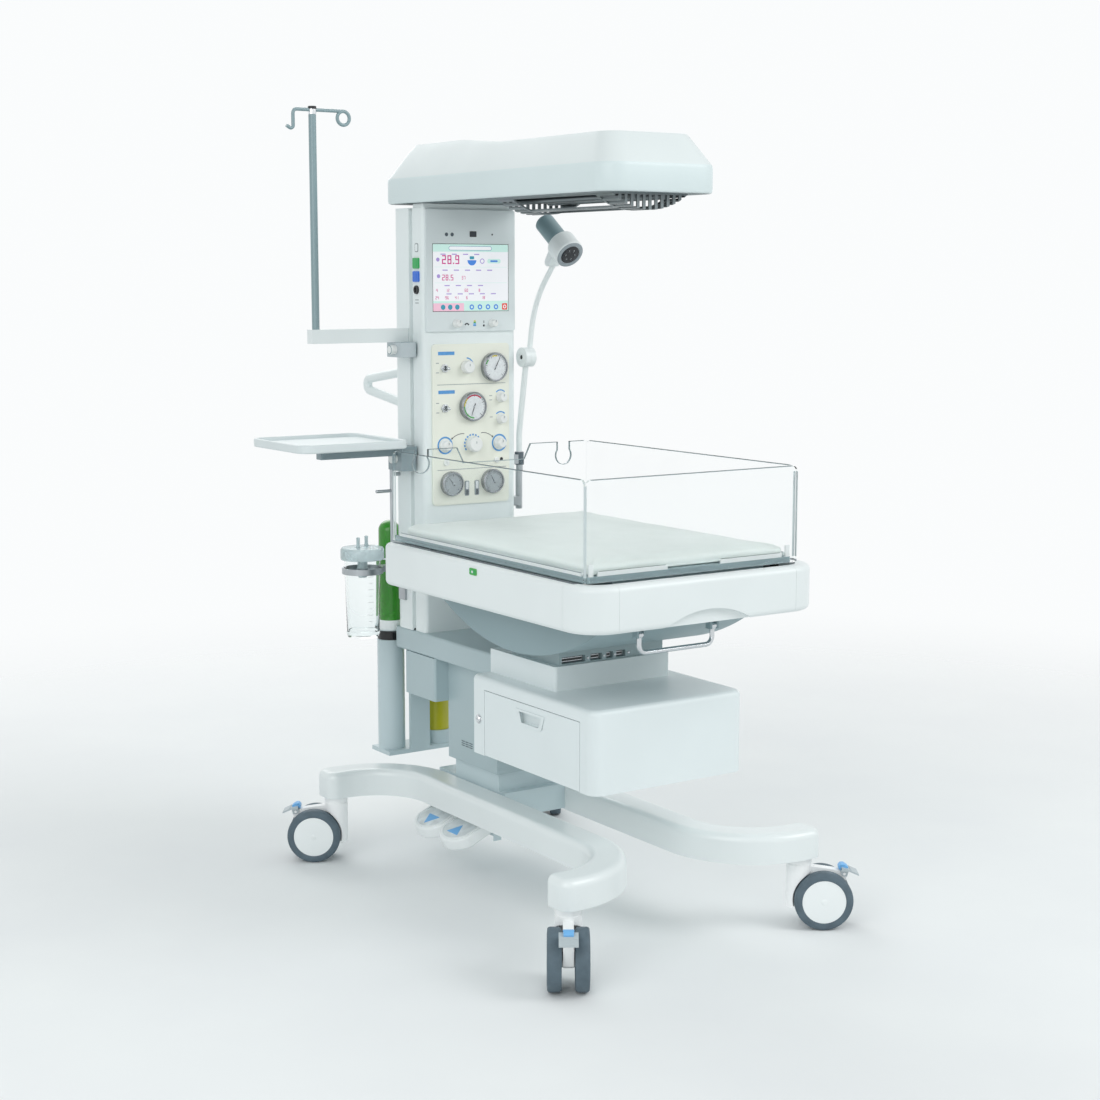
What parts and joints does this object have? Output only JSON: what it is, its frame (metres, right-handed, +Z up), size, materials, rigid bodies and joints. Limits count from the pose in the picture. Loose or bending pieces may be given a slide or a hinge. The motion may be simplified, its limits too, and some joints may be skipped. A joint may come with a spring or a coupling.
{
  "type": "infant radiant warmer",
  "caption": "Radiant warmer for newborns: a tilting bed with clear folding walls on a lifting stand, a swivelling heater hood, gas panel, drawer cabinet and side accessories.",
  "frame": {"origin": "on the floor, midway between the four caster stems", "axes": "+Z up, +Y from the foot end of the bed towards the column, +X to the right when looking along +Y"},
  "size_m": [0.8603, 1.2953, 1.741],
  "materials": {
    "white_moulding": "smooth moulded plastic, soft gloss",
    "white_leg": "white powder coat over cast aluminium",
    "grey_panel": "matt light grey-blue panel",
    "ivory_panel": "matt ivory panel with printed bars",
    "screen_glass": "lit display behind a clear front",
    "chrome": "polished chrome",
    "grey_metal": "satin anodised",
    "clear_wall": "clear acrylic, polished edges",
    "clear_jar": "clear jar under a clear lid",
    "mattress_cover": "wipe-clean cream cover, faint creases",
    "caster_tyre": "slate grey tread with white discs",
    "grey_lever": "light grey pedal, blue release",
    "cylinder_paint": "painted cylinders, one green and one yellow",
    "white_knob": "smooth white knob",
    "heater_grey": "satin grey guard over heating rods"
  },
  "bodies": {
    "base": {"base_beam": "white_leg", "left_leg": "white_leg", "right_leg": "white_leg"},
    "carriage": {"lift_housing": "white_moulding", "chassis_beam": "white_moulding", "column_housing": "white_moulding", "column_rear_cover": "white_moulding", "control_panel": "grey_panel", "display_screen": "screen_glass", "gas_panel": "ivory_panel", "pressure_gauges": "chrome", "rear_handles": "white_moulding", "cabinet_shell": "white_moulding", "port_block": "grey_panel", "cylinder_cradle": "grey_metal", "gas_cylinders": "cylinder_paint", "suction_jar": "clear_jar", "accessory_rod": "grey_metal", "lamp_post": "grey_metal"},
    "bed": {"bed_rim": "white_moulding", "bed_pan": "white_moulding", "mattress": "mattress_cover", "rear_wall": "clear_wall"},
    "hood": {"hood_shell": "white_moulding", "heater_unit": "heater_grey"},
    "raise_pedal": {"raise_pedal": "white_moulding"},
    "lower_pedal": {"lower_pedal": "white_moulding"},
    "drawer": {"drawer": "white_moulding"},
    "drawer_lock": {"drawer_lock": "chrome"},
    "left_wall": {"left_wall": "clear_wall"},
    "right_wall": {"right_wall": "clear_wall"},
    "front_wall": {"front_wall": "clear_wall"},
    "tilt_handle": {"tilt_handle": "chrome"},
    "shelf": {"shelf": "white_moulding"},
    "iv_pole": {"iv_pole": "grey_metal"},
    "lamp_pole": {"lamp_pole": "grey_metal"},
    "lamp_arm": {"lamp_arm": "grey_metal"},
    "lamp_head": {"lamp_head": "white_moulding"},
    "suction_knob": {"suction_knob": "white_knob"},
    "pressure_knob": {"pressure_knob": "white_knob"},
    "relief_knob": {"relief_knob": "white_knob"},
    "left_flow_knob": {"left_flow_knob": "white_knob"},
    "mix_knob": {"mix_knob": "white_knob"},
    "right_flow_knob": {"right_flow_knob": "white_knob"},
    "menu_knob": {"menu_knob": "white_knob"},
    "alarm_knob": {"alarm_knob": "white_knob"},
    "air_toggle": {"air_toggle": "chrome"},
    "oxygen_toggle": {"oxygen_toggle": "chrome"},
    "caster_fork_front_left": {"caster_fork_front_left": "white_moulding"},
    "caster_wheels_front_left": {"caster_wheels_front_left": "caster_tyre"},
    "caster_brake_front_left": {"caster_brake_front_left": "grey_lever"},
    "caster_fork_front_right": {"caster_fork_front_right": "white_moulding"},
    "caster_wheels_front_right": {"caster_wheels_front_right": "caster_tyre"},
    "caster_brake_front_right": {"caster_brake_front_right": "grey_lever"},
    "caster_fork_rear_left": {"caster_fork_rear_left": "white_moulding"},
    "caster_wheels_rear_left": {"caster_wheels_rear_left": "caster_tyre"},
    "caster_brake_rear_left": {"caster_brake_rear_left": "grey_lever"},
    "caster_fork_rear_right": {"caster_fork_rear_right": "white_moulding"},
    "caster_wheels_rear_right": {"caster_wheels_rear_right": "caster_tyre"},
    "caster_brake_rear_right": {"caster_brake_rear_right": "grey_lever"}
  },
  "joints": [
    {"name": "lift", "type": "slide", "parent": "base", "child": "carriage", "axis": [0, 0, 1], "range_m": [0, 0.15]},
    {"name": "front_left_swivel", "type": "hinge", "parent": "base", "child": "caster_fork_front_left", "pos_m": [-0.297, -0.486, 0.15], "axis": [0, 0, 1], "continuous": true},
    {"name": "front_left_spin", "type": "hinge", "parent": "caster_fork_front_left", "child": "caster_wheels_front_left", "pos_m": [-0.32489, -0.5275, 0.0625], "axis": [0.83, -0.5577, 0], "continuous": true},
    {"name": "front_left_brake", "type": "hinge", "parent": "caster_fork_front_left", "child": "caster_brake_front_left", "pos_m": [-0.34999, -0.56485, 0.11625], "axis": [0.83, -0.5577, 0], "range_deg": [0, 12]},
    {"name": "front_right_swivel", "type": "hinge", "parent": "base", "child": "caster_fork_front_right", "pos_m": [0.297, -0.486, 0.15], "axis": [0, 0, 1], "continuous": true},
    {"name": "front_right_spin", "type": "hinge", "parent": "caster_fork_front_right", "child": "caster_wheels_front_right", "pos_m": [0.3385, -0.51389, 0.0625], "axis": [0.5577, 0.83, 0], "continuous": true},
    {"name": "front_right_brake", "type": "hinge", "parent": "caster_fork_front_right", "child": "caster_brake_front_right", "pos_m": [0.37585, -0.53899, 0.11625], "axis": [0.5577, 0.83, 0], "range_deg": [0, 12]},
    {"name": "rear_left_swivel", "type": "hinge", "parent": "base", "child": "caster_fork_rear_left", "pos_m": [-0.297, 0.486, 0.15], "axis": [0, 0, 1], "continuous": true},
    {"name": "rear_left_spin", "type": "hinge", "parent": "caster_fork_rear_left", "child": "caster_wheels_rear_left", "pos_m": [-0.3385, 0.51389, 0.0625], "axis": [-0.5577, -0.83, 0], "continuous": true},
    {"name": "rear_left_brake", "type": "hinge", "parent": "caster_fork_rear_left", "child": "caster_brake_rear_left", "pos_m": [-0.37585, 0.53899, 0.11625], "axis": [-0.5577, -0.83, 0], "range_deg": [0, 12]},
    {"name": "rear_right_swivel", "type": "hinge", "parent": "base", "child": "caster_fork_rear_right", "pos_m": [0.297, 0.486, 0.15], "axis": [0, 0, 1], "continuous": true},
    {"name": "rear_right_spin", "type": "hinge", "parent": "caster_fork_rear_right", "child": "caster_wheels_rear_right", "pos_m": [0.32489, 0.5275, 0.0625], "axis": [-0.83, 0.5577, 0], "continuous": true},
    {"name": "rear_right_brake", "type": "hinge", "parent": "caster_fork_rear_right", "child": "caster_brake_rear_right", "pos_m": [0.34999, 0.56485, 0.11625], "axis": [-0.83, 0.5577, 0], "range_deg": [0, 12]},
    {"name": "raise_pedal_press", "type": "hinge", "parent": "base", "child": "raise_pedal", "pos_m": [-0.07, 0.189, 0.103], "axis": [0, -1, 0], "range_deg": [0, 8], "stiffness_Nm_per_rad": 4, "springref_deg": -6.88},
    {"name": "lower_pedal_press", "type": "hinge", "parent": "base", "child": "lower_pedal", "pos_m": [-0.07, 0.3046, 0.103], "axis": [0, -1, 0], "range_deg": [0, 8], "stiffness_Nm_per_rad": 4, "springref_deg": -6.88},
    {"name": "drawer_slide", "type": "slide", "parent": "carriage", "child": "drawer", "axis": [-1, 0, 0], "range_m": [0, 0.28]},
    {"name": "drawer_lock_turn", "type": "hinge", "parent": "carriage", "child": "drawer_lock", "pos_m": [-0.1934, 0.009, 0.417], "axis": [-1, 0, 0], "range_deg": [0, 90]},
    {"name": "hood_swivel", "type": "hinge", "parent": "carriage", "child": "hood", "pos_m": [0, 0.377, 1.524], "axis": [0, 0, -1], "range_deg": [-90, 60]},
    {"name": "bed_tilt", "type": "hinge", "parent": "carriage", "child": "bed", "pos_m": [0, -0.125, 1.187], "axis": [1, 0, 0], "range_deg": [-10, 10]},
    {"name": "left_wall_fold", "type": "hinge", "parent": "bed", "child": "left_wall", "pos_m": [-0.2616, -0.12, 0.79], "axis": [0, -1, 0], "range_deg": [0, 90]},
    {"name": "right_wall_fold", "type": "hinge", "parent": "bed", "child": "right_wall", "pos_m": [0.2616, -0.12, 0.79], "axis": [0, 1, 0], "range_deg": [0, 90]},
    {"name": "front_wall_fold", "type": "hinge", "parent": "bed", "child": "front_wall", "pos_m": [0, -0.4937, 0.79], "axis": [1, 0, 0], "range_deg": [0, 90]},
    {"name": "tilt_handle_squeeze", "type": "hinge", "parent": "bed", "child": "tilt_handle", "pos_m": [0, -0.437, 0.662], "axis": [-1, 0, 0], "range_deg": [0, 20], "stiffness_Nm_per_rad": 0.6, "springref_deg": -5.73},
    {"name": "shelf_slide", "type": "slide", "parent": "carriage", "child": "shelf", "axis": [0, 0, 1], "range_m": [-0.08, 0.15]},
    {"name": "iv_pole_slide", "type": "slide", "parent": "carriage", "child": "iv_pole", "axis": [0, 0, 1], "range_m": [-0.1, 0.2]},
    {"name": "lamp_swivel", "type": "hinge", "parent": "carriage", "child": "lamp_pole", "pos_m": [0.148, 0.372, 0.955], "axis": [0, 0, 1], "range_deg": [-20, 90]},
    {"name": "lamp_elbow", "type": "hinge", "parent": "lamp_pole", "child": "lamp_arm", "pos_m": [0.148, 0.34, 1.181], "axis": [1, 0, 0], "range_deg": [-5, 45]},
    {"name": "lamp_tip", "type": "hinge", "parent": "lamp_arm", "child": "lamp_head", "pos_m": [0.148, 0.231, 1.402], "axis": [1, 0, 0], "range_deg": [-20, 40]},
    {"name": "suction_knob_turn", "type": "hinge", "parent": "carriage", "child": "suction_knob", "pos_m": [-0.014, 0.3475, 1.162], "axis": [0, -1, 0], "range_deg": [-135, 135]},
    {"name": "pressure_knob_turn", "type": "hinge", "parent": "carriage", "child": "pressure_knob", "pos_m": [0.08, 0.3475, 1.089], "axis": [0, -1, 0], "range_deg": [-135, 135]},
    {"name": "relief_knob_turn", "type": "hinge", "parent": "carriage", "child": "relief_knob", "pos_m": [0.08, 0.3475, 1.038], "axis": [0, -1, 0], "range_deg": [-135, 135]},
    {"name": "left_flow_knob_turn", "type": "hinge", "parent": "carriage", "child": "left_flow_knob", "pos_m": [-0.072, 0.3475, 0.982], "axis": [0, -1, 0], "range_deg": [-135, 135]},
    {"name": "mix_knob_turn", "type": "hinge", "parent": "carriage", "child": "mix_knob", "pos_m": [0.003, 0.3475, 0.982], "axis": [0, -1, 0], "range_deg": [-135, 135]},
    {"name": "right_flow_knob_turn", "type": "hinge", "parent": "carriage", "child": "right_flow_knob", "pos_m": [0.076, 0.3475, 0.982], "axis": [0, -1, 0], "range_deg": [-135, 135]},
    {"name": "menu_knob_turn", "type": "hinge", "parent": "carriage", "child": "menu_knob", "pos_m": [-0.04, 0.346, 1.262], "axis": [0, -1, 0], "continuous": true},
    {"name": "alarm_knob_turn", "type": "hinge", "parent": "carriage", "child": "alarm_knob", "pos_m": [0.057, 0.346, 1.262], "axis": [0, -1, 0], "continuous": true},
    {"name": "air_toggle_flip", "type": "hinge", "parent": "carriage", "child": "air_toggle", "pos_m": [-0.072, 0.3477, 1.16], "axis": [1, 0, 0], "range_deg": [-14, 14]},
    {"name": "oxygen_toggle_flip", "type": "hinge", "parent": "carriage", "child": "oxygen_toggle", "pos_m": [-0.072, 0.3477, 1.068], "axis": [1, 0, 0], "range_deg": [-14, 14]}
  ]
}
